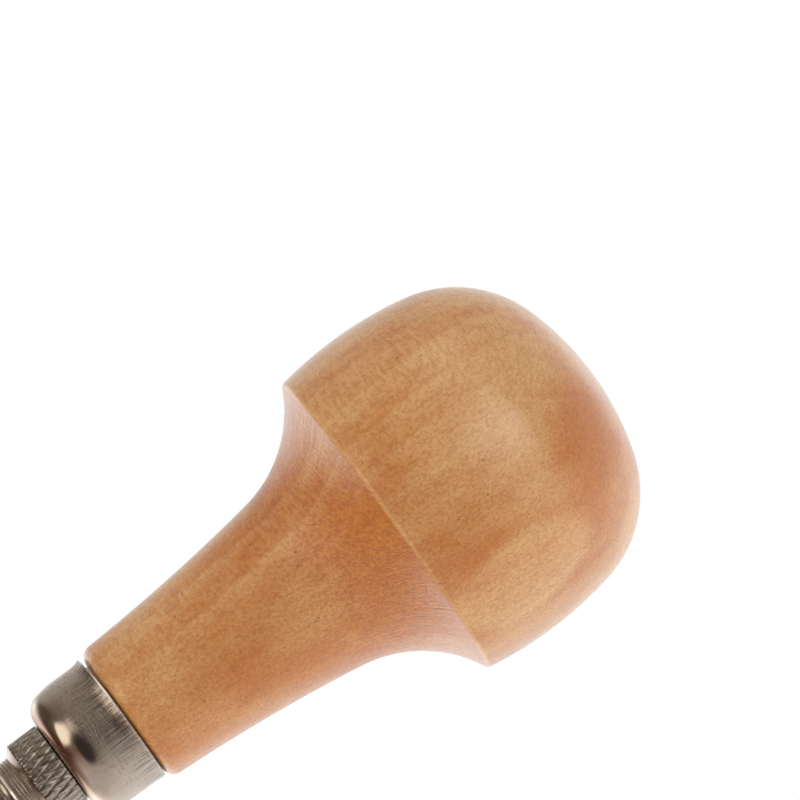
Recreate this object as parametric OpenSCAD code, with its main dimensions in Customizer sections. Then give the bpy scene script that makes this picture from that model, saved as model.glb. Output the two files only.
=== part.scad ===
// Pin vise with a turned wooden palm handle, a steel ferrule and a collet chuck.
// The tool's axis is Z. The origin is the middle of the collet's mouth, and the crown of the handle points up.

/* [Handle] */
// Diameter of the head at its widest place
head_d = 35; // [31:0.5:40]
// Height of the head, from the rim to the crown
head_h = 24.9; // [23.5:0.1:27]
// Height of the widest place above the rim
belly_h = 6.75; // [5:0.25:8]
// Radius of the arc along the side of the head
side_r = 39; // [34:0.5:48]
// Radius of the arc that rounds the side into the crown
shoulder_r = 12; // [9:0.5:13]
// Radius of the crown
crown_r = 28; // [25:0.5:34]
// Width of the soft edge along the rim
rim_edge = 0.3; // [0.1:0.05:0.6]
// Angle between the cove and the axis where the cove meets the rim
rim_angle = 65; // [55:1:72]
// Radius of the cove under the rim
cove_r = 13; // [10:0.5:16]
// Radius of the slight hollow along the neck
neck_curve_r = 180; // [120:5:300]
// Length of the neck and cove, from the ferrule to the rim
neck_len = 31.2; // [28:0.1:40]
// Radius of the rounded edge of the wood next to the ferrule
neck_edge_r = 1.4; // [0.5:0.1:1.5]
// How far the wood stands out past the ferrule's lip
neck_step = 0.45; // [0.2:0.05:0.8]

/* [Ferrule] */
// Diameter of the ferrule just ahead of its lip
ferrule_d = 13.6; // [13.2:0.1:15]
// Diameter of the ferrule behind its rounded front
ferrule_front_d = 13.15; // [12.4:0.05:13.6]
// Diameter of the flared rear lip
ferrule_lip_d = 14; // [13.8:0.1:15.5]
// Length of the flare at the rear lip
ferrule_lip_len = 1.6; // [1:0.1:2.5]
// Length of the ferrule
ferrule_len = 7.3; // [6:0.05:10]
// Radius of the rounded front of the ferrule
ferrule_round_r = 2.4; // [1.5:0.1:2.8]
// Thickness of the ferrule's sheet
ferrule_wall = 0.6; // [0.4:0.05:0.8]

/* [Chuck body] */
// Diameter of the knurled collar
collar_d = 8.8; // [8.2:0.1:10]
// Length of the knurled collar
collar_len = 3.25; // [2.5:0.05:5]
// Length of the bevel in front of the collar
collar_bevel = 0.75; // [0.4:0.05:1.4]
// Diameter of the seat that holds the collar off the ferrule
seat_d = 7.4; // [5.8:0.1:7.6]
// Length of that seat
seat_len = 0.15; // [0.05:0.05:0.8]
// Diameter of the turned stem
stem_d = 6.9; // [6.2:0.1:6.9]
// Length of stem that shows between the nut and the bevel
stem_len = 11.2; // [8:0.1:16]
// Distance from the bevel to the middle of the bead on the stem
bead_place = 1.8; // [1:0.1:2.5]
// Width of the bead
bead_w = 0.8; // [0.5:0.1:1.2]
// Height of the bead above the stem
bead_h = 0.12; // [0.05:0.01:0.2]
// Width of the groove in front of the bead
groove_w = 0.25; // [0.15:0.05:0.5]
// Depth of that groove
groove_h = 0.15; // [0.05:0.05:0.3]
// Outside diameter of the thread that carries the nut
thread_d = 7; // [6.9:0.1:7.4]
// Bevel at the front end of the thread
thread_edge = 0.25; // [0.1:0.05:0.4]
// Length of the nut that runs past the thread over the stem
thread_cover = 2; // [1.5:0.25:4]
// Diameter of the tang in the handle
tang_d = 5; // [4:0.1:5.6]
// Length of the tang behind the seat
tang_len = 24; // [16:1:30]
// Bevel at the end of the tang
tang_edge = 0.8; // [0.3:0.1:1.2]
// Depth of the free bore behind the collet
back_room = 2; // [1:0.5:4]

/* [Collet] */
// Diameter of the shank that the collet holds, and of its bore
shank_d = 2.35; // [1.8:0.05:2.45]
// Diameter of the jaws' tips
tip_d = 3.7; // [3.3:0.1:4]
// Length of the jaws' tips
tip_len = 7; // [6:0.25:8]
// Bevel around the jaws' tips
tip_edge = 0.2; // [0.1:0.05:0.3]
// Diameter of the collet's head
collet_d = 5.1; // [4.7:0.1:5.2]
// Half angle of the bevel that the nut pushes on
push_angle = 30; // [25:1:45]
// Length of the head between its two cones
land_len = 1; // [0.5:0.1:1.6]
// Half angle of the cone that draws the jaws together
taper_angle = 8; // [7:0.5:12]
// Length of that cone which stands out of the socket
taper_out = 0.6; // [0.55:0.05:1]
// Diameter of the jaws' spring fingers
finger_d = 3.5; // [3.3:0.05:3.6]
// Length of a jaw, from its mouth to its root
jaw_len = 21; // [19:0.5:26]
// Diameter of the hub behind the jaws
hub_d = 3.86; // [3.8:0.02:4]
// Length of the hub
hub_len = 4; // [2:0.5:6]
// Width of the slits between the jaws
slit_w = 0.5; // [0.4:0.05:0.7]

/* [Chuck nut] */
// Diameter over the nut's knurl
nut_d = 9.8; // [9.2:0.1:11]
// Length of the nut
nut_len = 24; // [23:0.5:32]
// Length of jaw that stands out of the nut
jaw_out = 1; // [0.5:0.1:1.5]
// Diameter of the plain part ahead of the knurl
nut_plain_d = 9.2; // [8.8:0.1:10]
// Diameter of the nut's front face
nut_nose_d = 6.2; // [5.6:0.1:6.8]
// Length of the nut's conical nose
nut_cone_len = 11; // [9:0.5:12]
// Length of the nut's knurl
nut_knurl_len = 7; // [5:0.5:8]
// Bevel at the ends of the nut's knurled part
nut_edge = 0.4; // [0.3:0.05:0.6]
// Bevel around the nut's front face
nut_nose_edge = 0.25; // [0.1:0.05:0.4]
// Diameter of the room in the nut around the collet's head
nut_chamber_d = 5.7; // [5.5:0.1:6]

/* [Knurl] */
// Angle of the knurl's lines to the axis
knurl_angle = 16; // [12:1:20]
// Spacing of the knurl's lines around the piece
knurl_pitch = 0.88; // [0.8:0.02:1.1]
// Depth of the knurl's left-hand lines
knurl_depth = 0.2; // [0.14:0.02:0.24]
// How much shallower its right-hand lines are
knurl_ease = 0.04; // [0.02:0.01:0.08]

/* [Fits] */
// Gap between the ferrule's lip and the shoulder of the wood
lip_gap = 0.05; // [0.05:0.05:0.4]
// Glue gap between the wood and the metal
glue_gap = 0.05; // [0.02:0.01:0.1]
// Gap around the tang in the ferrule's hole
tang_gap = 0.1; // [0.05:0.05:0.3]
// Free wood hole beyond the end of the tang
tang_room = 1; // [0.5:0.25:3]
// Gap between the collet's cone and its socket
taper_gap = 0.05; // [0.04:0.01:0.1]
// Gap around the hub in its bore
hub_gap = 0.05; // [0.03:0.01:0.1]
// Gap between the nut and the thread
thread_gap = 0.05; // [0.03:0.01:0.1]
// Gap at the root of each jaw
root_gap = 0.03; // [0.02:0.01:0.1]
// Room around the jaws in the nut, for opening them
jaw_room = 0.3; // [0.26:0.01:0.4]
// Room between the nut's inner step and the body's nose, for tightening
draw_room = 0.6; // [0.55:0.05:1]

/* [Hidden] */
$fn = 96;
arc_steps = 14;
jaw_count = 4;
knurl_top = 0.06;
knurl_run = 0.5;
wood_color = [0.80, 0.58, 0.37];
ferrule_color = [0.66, 0.63, 0.59];
chuck_color = [0.58, 0.56, 0.53];
nut_color = [0.62, 0.60, 0.57];
collet_color = [0.44, 0.44, 0.45];

// Heights of the chuck's pieces, from the collet's mouth upwards
push_z = tip_len;
land_z = push_z + (collet_d - tip_d) / 2 / tan(push_angle);
taper_z = land_z + land_len;
nose_z = taper_z + taper_out;
finger_z = taper_z + (collet_d - finger_d) / 2 / tan(taper_angle);
hub_z = jaw_len + root_gap;
hub_end_z = hub_z + hub_len;
bore_end_z = hub_end_z + back_room;
bore_r = hub_d / 2 + hub_gap;
socket_r = collet_d / 2 - taper_out * tan(taper_angle) + taper_gap;
socket_end_z = nose_z + (socket_r - bore_r) / tan(taper_angle);
nut_end_z = jaw_out + nut_len;
bevel_z = nut_end_z + stem_len;
collar_z = bevel_z + collar_bevel;
collar_end_z = collar_z + collar_len;
ferrule_z = collar_end_z + seat_len;
ferrule_end_z = ferrule_z + ferrule_len;
wood_z = ferrule_end_z + lip_gap;
rim_z = wood_z + neck_len;
crown_z = rim_z + head_h;
tang_end_z = ferrule_z + tang_len;

// Points and arcs of the turned outlines, as [radius, height]
function polar(centre, r, angle) = centre + r * [cos(angle), sin(angle)];
function arc(centre, r, from, to) =
    [for (i = [0:arc_steps]) polar(centre, r, from + (to - from) * i / arc_steps)];
function heading(from, to) = (360 + atan2(to[1] - from[1], to[0] - from[0])) % 360;
function far_meet(c0, r0, c1, r1) =
    let (d = norm(c1 - c0))
    let (along = (d * d + r0 * r0 - r1 * r1) / (2 * d))
    let (across = sqrt(r0 * r0 - along * along))
    let (u = (c1 - c0) / d)
    c0 + along * u + across * [-u[1], u[0]];

// Rounded front of the ferrule and of the wood inside it
ferrule_round_c = [ferrule_front_d / 2 - ferrule_round_r, ferrule_z + ferrule_round_r];
ferrule_in_r = ferrule_front_d / 2 - ferrule_wall;
ferrule_in_round_r = ferrule_round_r - ferrule_wall;
tenon_round_r = ferrule_in_round_r - glue_gap;
tenon_z = ferrule_z + ferrule_wall + glue_gap;
lip_h = (ferrule_lip_d - ferrule_d) / 2;
lip_r = (ferrule_lip_len * ferrule_lip_len + lip_h * lip_h) / (2 * lip_h);
lip_c = [ferrule_d / 2 + lip_r, ferrule_end_z - ferrule_lip_len];
lip_turn = asin(ferrule_lip_len / lip_r);

// Arcs of the handle: the head's side, its shoulder and crown, the cove and the neck
side_c = [head_d / 2 - side_r, rim_z + belly_h];
crown_c = [0, crown_z - crown_r];
shoulder_c = far_meet(side_c, side_r - shoulder_r, crown_c, crown_r - shoulder_r);
side_from = -asin((belly_h - rim_edge) / side_r);
side_to = heading(side_c, shoulder_c);
crown_from = heading(crown_c, shoulder_c);
rim = polar(side_c, side_r, -asin(belly_h / side_r));
cove_c = polar(rim, cove_r, -rim_angle);
neck_front_r = ferrule_lip_d / 2 + neck_step;
neck_round_r = min(neck_edge_r, neck_front_r - ferrule_in_r);
neck_front = [neck_front_r, wood_z + neck_round_r];
neck_edge_c = [neck_front_r - neck_round_r, wood_z + neck_round_r];
neck_c = far_meet(cove_c, neck_curve_r - cove_r, neck_front, neck_curve_r);
neck_from = heading(neck_c, neck_front);
cove_from = heading(neck_c, cove_c);
cove_to = 180 - rim_angle + rim_edge / cove_r * 180 / PI;

// Lines of a diamond knurl: straight V cuts that cross the knurl both ways and run out past its ends.
// The angle is eased to a whole number of rows, and each end of the knurl lies halfway between two rows of crossings.
module knurl_cuts(d, from_z, length) {
    count = floor(PI * d / knurl_pitch);
    line_gap = PI * d / count;
    rows = max(1, round(2 * length * tan(knurl_angle) / line_gap));
    angle = atan(rows * line_gap / (2 * length));
    phase = (rows + 1) / 4;
    cut_len = (length + 2 * knurl_run) / cos(angle);
    for (turn = [-1, 1], i = [0:count - 1])
        let (depth = turn > 0 ? knurl_depth : knurl_depth - knurl_ease)
        let (cut_h = depth + knurl_top)
            rotate((i + turn * phase) * 360 / count)
                translate([d / 2 - depth, 0, from_z + length / 2])
                    rotate([turn * angle, 0, 0])
                        linear_extrude(height = cut_len, center = true)
                            polygon([
                                [0, 0],
                                [cut_h, -cut_h],
                                [cut_h, cut_h]
                            ]);
}

module wood_handle() {
    color(wood_color)
        difference() {
            rotate_extrude()
                polygon(concat(
                    [[0, tenon_z]],
                    arc(ferrule_round_c, tenon_round_r, -90, 0),
                    [[ferrule_in_r - glue_gap, wood_z]],
                    arc(neck_edge_c, neck_round_r, -90, 0),
                    arc(neck_c, neck_curve_r, neck_from, cove_from),
                    arc(cove_c, cove_r, cove_from, cove_to),
                    arc(side_c, side_r, side_from, side_to),
                    arc(shoulder_c, shoulder_r, side_to, crown_from),
                    arc(crown_c, crown_r, crown_from, 90)
                ));
            translate([0, 0, ferrule_z])
                cylinder(d = tang_d + 2 * glue_gap, h = tang_len + tang_room);
        }
}

module ferrule() {
    hole_r = tang_d / 2 + tang_gap;
    color(ferrule_color)
        rotate_extrude()
            polygon(concat(
                [[hole_r, ferrule_z]],
                arc(ferrule_round_c, ferrule_round_r, -90, 0),
                arc(lip_c, lip_r, 180, 180 - lip_turn),
                [[ferrule_in_r, ferrule_end_z]],
                arc(ferrule_round_c, ferrule_in_round_r, 0, -90),
                [[hole_r, ferrule_z + ferrule_wall]]
            ));
}

// Turned outline of the stem's bead, and of the groove in front of it
function bead_outline() =
    let (r = stem_d / 2)
    let (z = bevel_z - bead_place)
    let (bead_r = (bead_w * bead_w / 4 + bead_h * bead_h) / (2 * bead_h))
    let (turn = asin(bead_w / 2 / bead_r))
    concat(
        [
            [r, z - bead_w / 2 - groove_w],
            [r - groove_h, z - bead_w / 2 - groove_w],
            [r - groove_h, z - bead_w / 2]
        ],
        arc([r + bead_h - bead_r, z], bead_r, -turn, turn)
    );

module chuck_body() {
    stem_r = stem_d / 2;
    thread_r = thread_d / 2;
    thread_end_z = nut_end_z - thread_cover;
    color(chuck_color)
        difference() {
            rotate_extrude()
                polygon(concat(
                    [
                        [0, bore_end_z],
                        [bore_r, bore_end_z],
                        [bore_r, socket_end_z],
                        [socket_r, nose_z],
                        [thread_r - thread_edge, nose_z],
                        [thread_r, nose_z + thread_edge],
                        [thread_r, thread_end_z],
                        [stem_r, thread_end_z + thread_r - stem_r]
                    ],
                    bead_outline(),
                    [
                        [stem_r, bevel_z],
                        [collar_d / 2, collar_z],
                        [collar_d / 2, collar_end_z],
                        [seat_d / 2, collar_end_z],
                        [seat_d / 2, ferrule_z],
                        [tang_d / 2, ferrule_z],
                        [tang_d / 2, tang_end_z - tang_edge],
                        [tang_d / 2 - tang_edge, tang_end_z],
                        [0, tang_end_z]
                    ]
                ));
            knurl_cuts(collar_d, collar_z, collar_len);
        }
}

module chuck_nut() {
    bore_in_r = thread_d / 2 + thread_gap;
    mouth_r = tip_d / 2 + jaw_room;
    chamber_r = nut_chamber_d / 2;
    step_z = nose_z - draw_room;
    mouth_z = push_z;
    chamber_z = mouth_z + (chamber_r - mouth_r) / tan(push_angle);
    knurl_z = nut_end_z - nut_edge - nut_knurl_len;
    cone_z = jaw_out + nut_cone_len;
    color(nut_color)
        difference() {
            rotate_extrude()
                polygon([
                    [mouth_r, jaw_out],
                    [nut_nose_d / 2 - nut_nose_edge, jaw_out],
                    [nut_nose_d / 2, jaw_out + nut_nose_edge],
                    [nut_plain_d / 2, cone_z],
                    [nut_plain_d / 2, knurl_z - nut_edge],
                    [nut_d / 2, knurl_z],
                    [nut_d / 2, nut_end_z - nut_edge],
                    [nut_d / 2 - nut_edge, nut_end_z],
                    [bore_in_r, nut_end_z],
                    [bore_in_r, step_z],
                    [chamber_r, step_z],
                    [chamber_r, chamber_z],
                    [mouth_r, mouth_z]
                ]);
            knurl_cuts(nut_d, knurl_z, nut_knurl_len);
        }
}

module collet_hub() {
    color(collet_color)
        rotate_extrude()
            polygon([
                [shank_d / 2, hub_z],
                [hub_d / 2, hub_z],
                [hub_d / 2, hub_end_z],
                [shank_d / 2, hub_end_z]
            ]);
}

// One jaw: a quarter of the collet's front, cut off at the slits on both sides
module collet_jaw(number) {
    color(collet_color)
        rotate((number - 1) * 360 / jaw_count)
            intersection() {
                rotate_extrude()
                    polygon([
                        [shank_d / 2, 0],
                        [tip_d / 2 - tip_edge, 0],
                        [tip_d / 2, tip_edge],
                        [tip_d / 2, push_z],
                        [collet_d / 2, land_z],
                        [collet_d / 2, taper_z],
                        [finger_d / 2, finger_z],
                        [finger_d / 2, jaw_len],
                        [shank_d / 2, jaw_len]
                    ]);
                translate([slit_w / 2, slit_w / 2, 0])
                    cube([collet_d, collet_d, jaw_len]);
            }
}

wood_handle();
ferrule();
chuck_body();
chuck_nut();
collet_hub();
collet_jaw(1);  // collet_jaw_1
collet_jaw(2);  // collet_jaw_2
collet_jaw(3);  // collet_jaw_3
collet_jaw(4);  // collet_jaw_4
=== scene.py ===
"""Pin vise with a turned wooden palm handle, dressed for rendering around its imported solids."""

from math import asin, atan2, cos, floor, hypot, pi, radians, sin, sqrt, tan
from random import Random

import bmesh
import bpy
from bpy.props import FloatProperty, FloatVectorProperty, PointerProperty
from mathutils import Matrix, Vector, noise


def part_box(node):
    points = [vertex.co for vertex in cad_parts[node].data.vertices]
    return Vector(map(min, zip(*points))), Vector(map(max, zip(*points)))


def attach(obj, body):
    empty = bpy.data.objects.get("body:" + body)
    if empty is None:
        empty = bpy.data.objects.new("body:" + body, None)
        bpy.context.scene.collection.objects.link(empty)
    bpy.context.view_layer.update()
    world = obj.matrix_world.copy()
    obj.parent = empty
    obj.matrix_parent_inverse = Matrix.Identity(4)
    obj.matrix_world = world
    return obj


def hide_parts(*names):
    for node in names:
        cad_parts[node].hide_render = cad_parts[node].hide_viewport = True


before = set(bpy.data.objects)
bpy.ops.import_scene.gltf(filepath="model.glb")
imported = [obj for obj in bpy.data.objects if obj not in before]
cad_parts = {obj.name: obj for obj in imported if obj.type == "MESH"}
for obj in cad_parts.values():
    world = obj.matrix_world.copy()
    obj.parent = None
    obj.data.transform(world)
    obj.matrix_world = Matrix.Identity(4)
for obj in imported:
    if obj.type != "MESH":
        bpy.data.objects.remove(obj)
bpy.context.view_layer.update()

bl_info = {
    "name": "Pin vise",
    "version": (1, 0, 0),
    "blender": (4, 5, 0),
    "location": "3D View > Sidebar > Pin vise",
    "description": "Turns, knurls and finishes the pieces of a pin vise around its solids",
    "category": "Object",
}

MM = 0.001
JAWS = 4
# widths of soft edges that aren't among the sizes
FINE_EDGE, INNER_EDGE, HUB_EDGE = 0.1 * MM, 0.12 * MM, 0.15 * MM
PLAIN_EDGE, FACE_EDGE, TANG_EDGE = 0.2 * MM, 0.25 * MM, 0.8 * MM
# facets around the pieces that have no knurl
HANDLE_STEPS, FERRULE_STEPS, COLLET_STEPS = 224, 192, 96


def level(node, end):
    """Lowest (0) or highest (1) height of a solid, in metres."""
    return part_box(node)[end].z


# Sizes and colours


def size(name, text, millimetres):
    """A length that a user may change, shown in the scene's unit."""
    return FloatProperty(
        name=name, description=text, default=millimetres * MM, min=0, unit="LENGTH", subtype="DISTANCE",
        precision=5,
    )


def angle(name, text, value):
    """An angle that a user may change, given here in degrees."""
    return FloatProperty(
        name=name, description=text, default=radians(value), unit="ROTATION", subtype="ANGLE"
    )


def share(name, text, value):
    """A plain number that a user may change."""
    return FloatProperty(name=name, description=text, default=value, min=0)


def tint(name, text, red, green, blue):
    """A colour that a user may change."""
    return FloatVectorProperty(
        name=name, description=text, default=(red, green, blue), min=0, max=1, size=3, subtype="COLOR"
    )


class HandleSizes(bpy.types.PropertyGroup):
    """Sizes of the turned wooden handle."""

    head_d: size("Head", "Diameter of the head at its widest place", 35)
    head_h: size("Head height", "From the rim to the crown", 24.9)
    belly_h: size("Belly", "Height of the widest place above the rim", 6.75)
    side_r: size("Side", "Radius of the arc along the side of the head", 39)
    shoulder_r: size("Shoulder", "Radius of the arc that rounds the side into the crown", 12)
    crown_r: size("Crown", "Radius of the crown", 28)
    rim_soft: size("Rim edge", "Width of the soft edge along the rim", 0.3)
    rim_angle: angle("Rim angle", "Between the cove and the axis at the rim", 65)
    cove_r: size("Cove", "Radius of the cove under the rim", 13)
    neck_r: size("Neck hollow", "Radius of the slight hollow along the neck", 180)
    neck_edge_r: size("Neck edge", "Radius of the rounded edge next to the ferrule", 1.4)
    neck_step: size("Neck step", "How far the wood stands out past the ferrule's lip", 0.4)
    lip_gap: size("Lip gap", "Between the ferrule's lip and the shoulder of the wood", 0.05)
    glue_gap: size("Glue gap", "Between the wood and the metal", 0.05)
    hole_room: size("Hole room", "Free hole beyond the end of the tang", 1)


class FerruleSizes(bpy.types.PropertyGroup):
    """Sizes of the drawn steel ferrule."""

    rear_d: size("Rear", "Diameter of the straight part ahead of the lip", 13.65)
    lip_d: size("Lip", "Diameter of the flared lip", 14.25)
    lip_len: size("Lip length", "Length of the flare", 1.6)
    round_r: size("Front round", "Radius of the rounded front", 2.15)
    ease_r: size("Front ease", "Radius of the wide arc that leads into the rounded front", 9)
    ease_angle: angle("Front ease turn", "How far the wide arc turns", 12)
    wall: size("Sheet", "Thickness of the sheet", 0.6)
    hole_d: size("Hole", "Diameter of the hole for the tang", 5.2)
    lip_wave: size("Lip wave", "How far the cut edge of the lip dips", 0.36)
    lip_press: share("Lip press", "Share of the flare that is pressed flat on the right", 0.75)


class ChuckSizes(bpy.types.PropertyGroup):
    """Sizes of the chuck body."""

    collar_d: size("Collar", "Diameter of the knurled collar", 8.8)
    collar_len: size("Collar length", "Length of the knurled collar", 3.25)
    bevel_len: size("Bevel", "Length of the bevel in front of the collar", 0.75)
    seat_d: size("Seat", "Diameter of the seat behind the collar", 8.4)
    seat_len: size("Seat length", "Length of the seat", 0.15)
    stem_d: size("Stem", "Diameter of the turned stem", 6.9)
    bead_place: size("Bead place", "From the bevel to the middle of the bead", 1.8)
    bead_w: size("Bead", "Width of the bead", 0.8)
    bead_h: size("Bead height", "Height of the bead above the stem", 0.12)
    groove_w: size("Groove", "Width of the groove in front of the bead", 0.25)
    groove_h: size("Groove depth", "Depth of that groove", 0.15)
    thread_d: size("Thread", "Outside diameter of the thread", 7)
    thread_cover: size("Thread cover", "Length of nut that runs past the thread", 2)
    tang_d: size("Tang", "Diameter of the tang in the handle", 5)
    back_room: size("Back room", "Free bore behind the collet", 2)
    crest_soft: size("Collar edge", "How much the front edge of the collar is worn down", 0.05)
    line_gap: size("Line spacing", "Spacing of the tool's lines behind the bead", 0.34)
    line_h: size("Turning lines", "Depth of the tool's lines along the stem", 0.09)


class NutSizes(bpy.types.PropertyGroup):
    """Sizes of the chuck nut."""

    knurl_d: size("Knurl", "Diameter over the knurl", 9.8)
    plain_d: size("Plain part", "Diameter ahead of the knurl", 9.2)
    nose_d: size("Nose", "Diameter of the front face", 6.2)
    cone_len: size("Cone", "Length of the conical nose", 11)
    knurl_len: size("Knurl length", "Length of the knurl", 7)
    edge: size("Edges", "Bevel at the ends of the knurled part", 0.4)
    chamber_d: size("Chamber", "Diameter of the room around the collet's head", 5.7)
    draw_room: size("Draw room", "Room ahead of the body's nose for tightening", 0.6)
    thread_gap: size("Thread gap", "Between the nut and the thread", 0.05)
    jaw_room: size("Jaw room", "Room around the jaws for opening them", 0.3)


class ColletSizes(bpy.types.PropertyGroup):
    """Sizes of the collet's hub and jaws."""

    shank_d: size("Bore", "Diameter of the bore, which is the shank's", 2.35)
    tip_d: size("Tips", "Diameter of the jaws' tips", 3.7)
    tip_len: size("Tip length", "Length of the jaws' tips", 7)
    head_d: size("Head", "Diameter of the collet's head", 5.1)
    push_angle: angle("Push bevel", "Half angle of the bevel that the nut pushes on", 30)
    land_len: size("Land", "Length of the head between its two cones", 1)
    taper_angle: angle("Taper", "Half angle of the cone that draws the jaws together", 8)
    taper_gap: size("Taper gap", "Between the cone and its socket", 0.05)
    finger_d: size("Fingers", "Diameter of the spring fingers", 3.5)
    hub_d: size("Hub", "Diameter of the hub", 3.86)
    hub_gap: size("Hub gap", "Around the hub in its bore", 0.05)
    slit_w: size("Slits", "Width of the slits between the jaws", 0.5)


class KnurlSizes(bpy.types.PropertyGroup):
    """Sizes of both diamond knurls."""

    slope: angle("Slope", "Angle of the lines to the axis", 16)
    pitch: size("Pitch", "Spacing of the lines around the piece", 0.88)
    depth: size("Depth", "Depth of the left-hand lines", 0.2)
    ease: size("Ease", "How much shallower the right-hand lines are", 0.015)
    wander: share("Unevenness", "How much the depth differs from line to line", 0.35)
    spread: share("Spread", "Half width of a line, as a share of its depth", 1.5)


class Finishes(bpy.types.PropertyGroup):
    """Colours of the wood and the steels."""

    wood: tint("Wood", "Main colour of the lacquered wood", 0.554, 0.302, 0.107)
    # the stained tint also darkens the cove, partly as painted shade
    wood_dark: tint("Wood, stained", "Where the wood took up more lacquer", 0.455, 0.147, 0.013)
    wood_pale: tint("Wood, pale", "Pale growth bands and worn edges", 0.640, 0.390, 0.185)
    wood_pore: tint("Wood, pores", "Dark specks of open pores", 0.085, 0.035, 0.014)
    ferrule: tint("Ferrule", "Drawn steel", 0.600, 0.515, 0.450)
    chuck: tint("Chuck body", "Turned steel", 0.518, 0.450, 0.391)
    nut: tint("Chuck nut", "Turned steel of the nut", 0.575, 0.510, 0.455)
    collet: tint("Collet", "Hardened steel of the collet", 0.330, 0.325, 0.325)
    grime: tint("Grime", "Old oil in lines and corners of the steel", 0.050, 0.038, 0.030)


class StageSettings(bpy.types.PropertyGroup):
    """Camera, lamps, surroundings and floor."""

    roll: angle("Roll", "Slope of the tool's axis in the picture", 36.1)
    lean: angle("Lean", "How far the crown leans away from the camera", 3.7)
    distance: size("Camera distance", "From the camera to the tool", 1000)
    view_w: size("View width", "Width of the picture at the tool", 77.305)
    shift_x: size("Framing, across", "From the rim's middle to the picture's middle, to the right", 1.453)
    shift_y: size("Framing, up", "From the rim's middle to the picture's middle, upwards", 12.207)
    floor_drop: size("Floor", "How far the floor lies below the collet's mouth", 2)
    day: share("Surroundings", "Strength of the light from all around", 0.80)
    behind: share("Brightness behind", "What the ground behind adds to reflections", 0.4)
    edges: share("Light on the edges", "What the backdrop adds to the light on the right edge", 4.5)
    key: share("Front lamp", "Brightness of the lamp above the camera", 2.1)
    side: share("Side lamp", "Brightness of the lamp to the left of the chuck", 1.6)


class PinVise(bpy.types.PropertyGroup):
    """All settings of the pin vise."""

    handle: PointerProperty(type=HandleSizes)
    ferrule: PointerProperty(type=FerruleSizes)
    chuck: PointerProperty(type=ChuckSizes)
    nut: PointerProperty(type=NutSizes)
    collet: PointerProperty(type=ColletSizes)
    knurl: PointerProperty(type=KnurlSizes)
    finish: PointerProperty(type=Finishes)
    stage: PointerProperty(type=StageSettings)


# Turning


class Outline:
    """Half outline of a turned piece, drawn in the XZ plane as radius and height, then spun about Z."""

    def __init__(self, r, z):
        self.bm = bmesh.new()
        self.first = self.tip = self.bm.verts.new((r, 0, z))
        self.corners = []

    def line(self, r, z, cuts=1):
        """Draws a straight line, in as many equal parts as cuts says."""
        start, end = self.tip.co.copy(), Vector((r, 0, z))
        for i in range(cuts):
            self.tip = bmesh.ops.extrude_vert_indiv(self.bm, verts=[self.tip])["verts"][0]
            self.tip.co = start.lerp(end, (i + 1) / cuts)
        return self

    def lines(self, *points):
        """Draws straight lines from point to point."""
        for r, z in points:
            self.line(r, z)
        return self

    def arc(self, centre, turn, steps):
        """Draws an arc about a centre. A positive turn in radians runs from the radius towards the height."""
        made = bmesh.ops.spin(
            self.bm, geom=[self.tip], cent=(centre[0], 0, centre[1]), axis=(0, -1, 0), angle=turn, steps=steps
        )
        self.tip = next(g for g in made["geom_last"] if isinstance(g, bmesh.types.BMVert))
        return self

    def soft(self, width):
        """Rounds the corner at the outline's present end once the outline is drawn."""
        self.corners.append((self.tip, width))
        return self

    def turned(self, steps, closed=False):
        """Spins the outline round and gives the closed mesh."""
        bm = self.bm
        if closed:
            bm.edges.new((self.tip, self.first))
        for corner, width in self.corners:
            bmesh.ops.bevel(
                bm, geom=[corner], offset=width, affect="VERTICES", segments=4, profile=0.5, material=-1
            )
        bmesh.ops.spin(
            bm, geom=bm.verts[:] + bm.edges[:], cent=(0, 0, 0), axis=(0, 0, 1), angle=2 * pi, steps=steps,
            use_merge=True,
        )
        bmesh.ops.remove_doubles(bm, verts=bm.verts, dist=1e-7)
        bmesh.ops.dissolve_degenerate(bm, edges=bm.edges, dist=1e-8)
        bmesh.ops.recalc_face_normals(bm, faces=bm.faces)
        return bm


def polar(centre, r, turn):
    """Point on a circle."""
    return Vector((centre[0] + r * cos(turn), centre[1] + r * sin(turn)))


def heading(start, end):
    """Direction from one point to another, from 0 to a full turn."""
    return atan2(end[1] - start[1], end[0] - start[0]) % (2 * pi)


def far_meet(c0, r0, c1, r1):
    """Meeting point of two circles, to the left of the line from the first centre to the second."""
    d = (c1 - c0).length
    along = (d * d + r0 * r0 - r1 * r1) / (2 * d)
    across = sqrt(r0 * r0 - along * along)
    u = (c1 - c0) / d
    return c0 + along * u + across * Vector((-u[1], u[0]))


def finish_piece(bm, name, body, nodes, material, crease=35):
    """Makes the mesh a piece that rides on its body, stands for its solid and wears its finish."""
    mesh = bpy.data.meshes.new(name)
    bm.to_mesh(mesh)
    bm.free()
    mesh.polygons.foreach_set("use_smooth", [True] * len(mesh.polygons))
    mesh.set_sharp_from_angle(angle=radians(crease))
    mesh.materials.append(material)
    piece = bpy.data.objects.new(name, mesh)
    bpy.context.scene.collection.objects.link(piece)
    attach(piece, body)
    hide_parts(*nodes)


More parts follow.
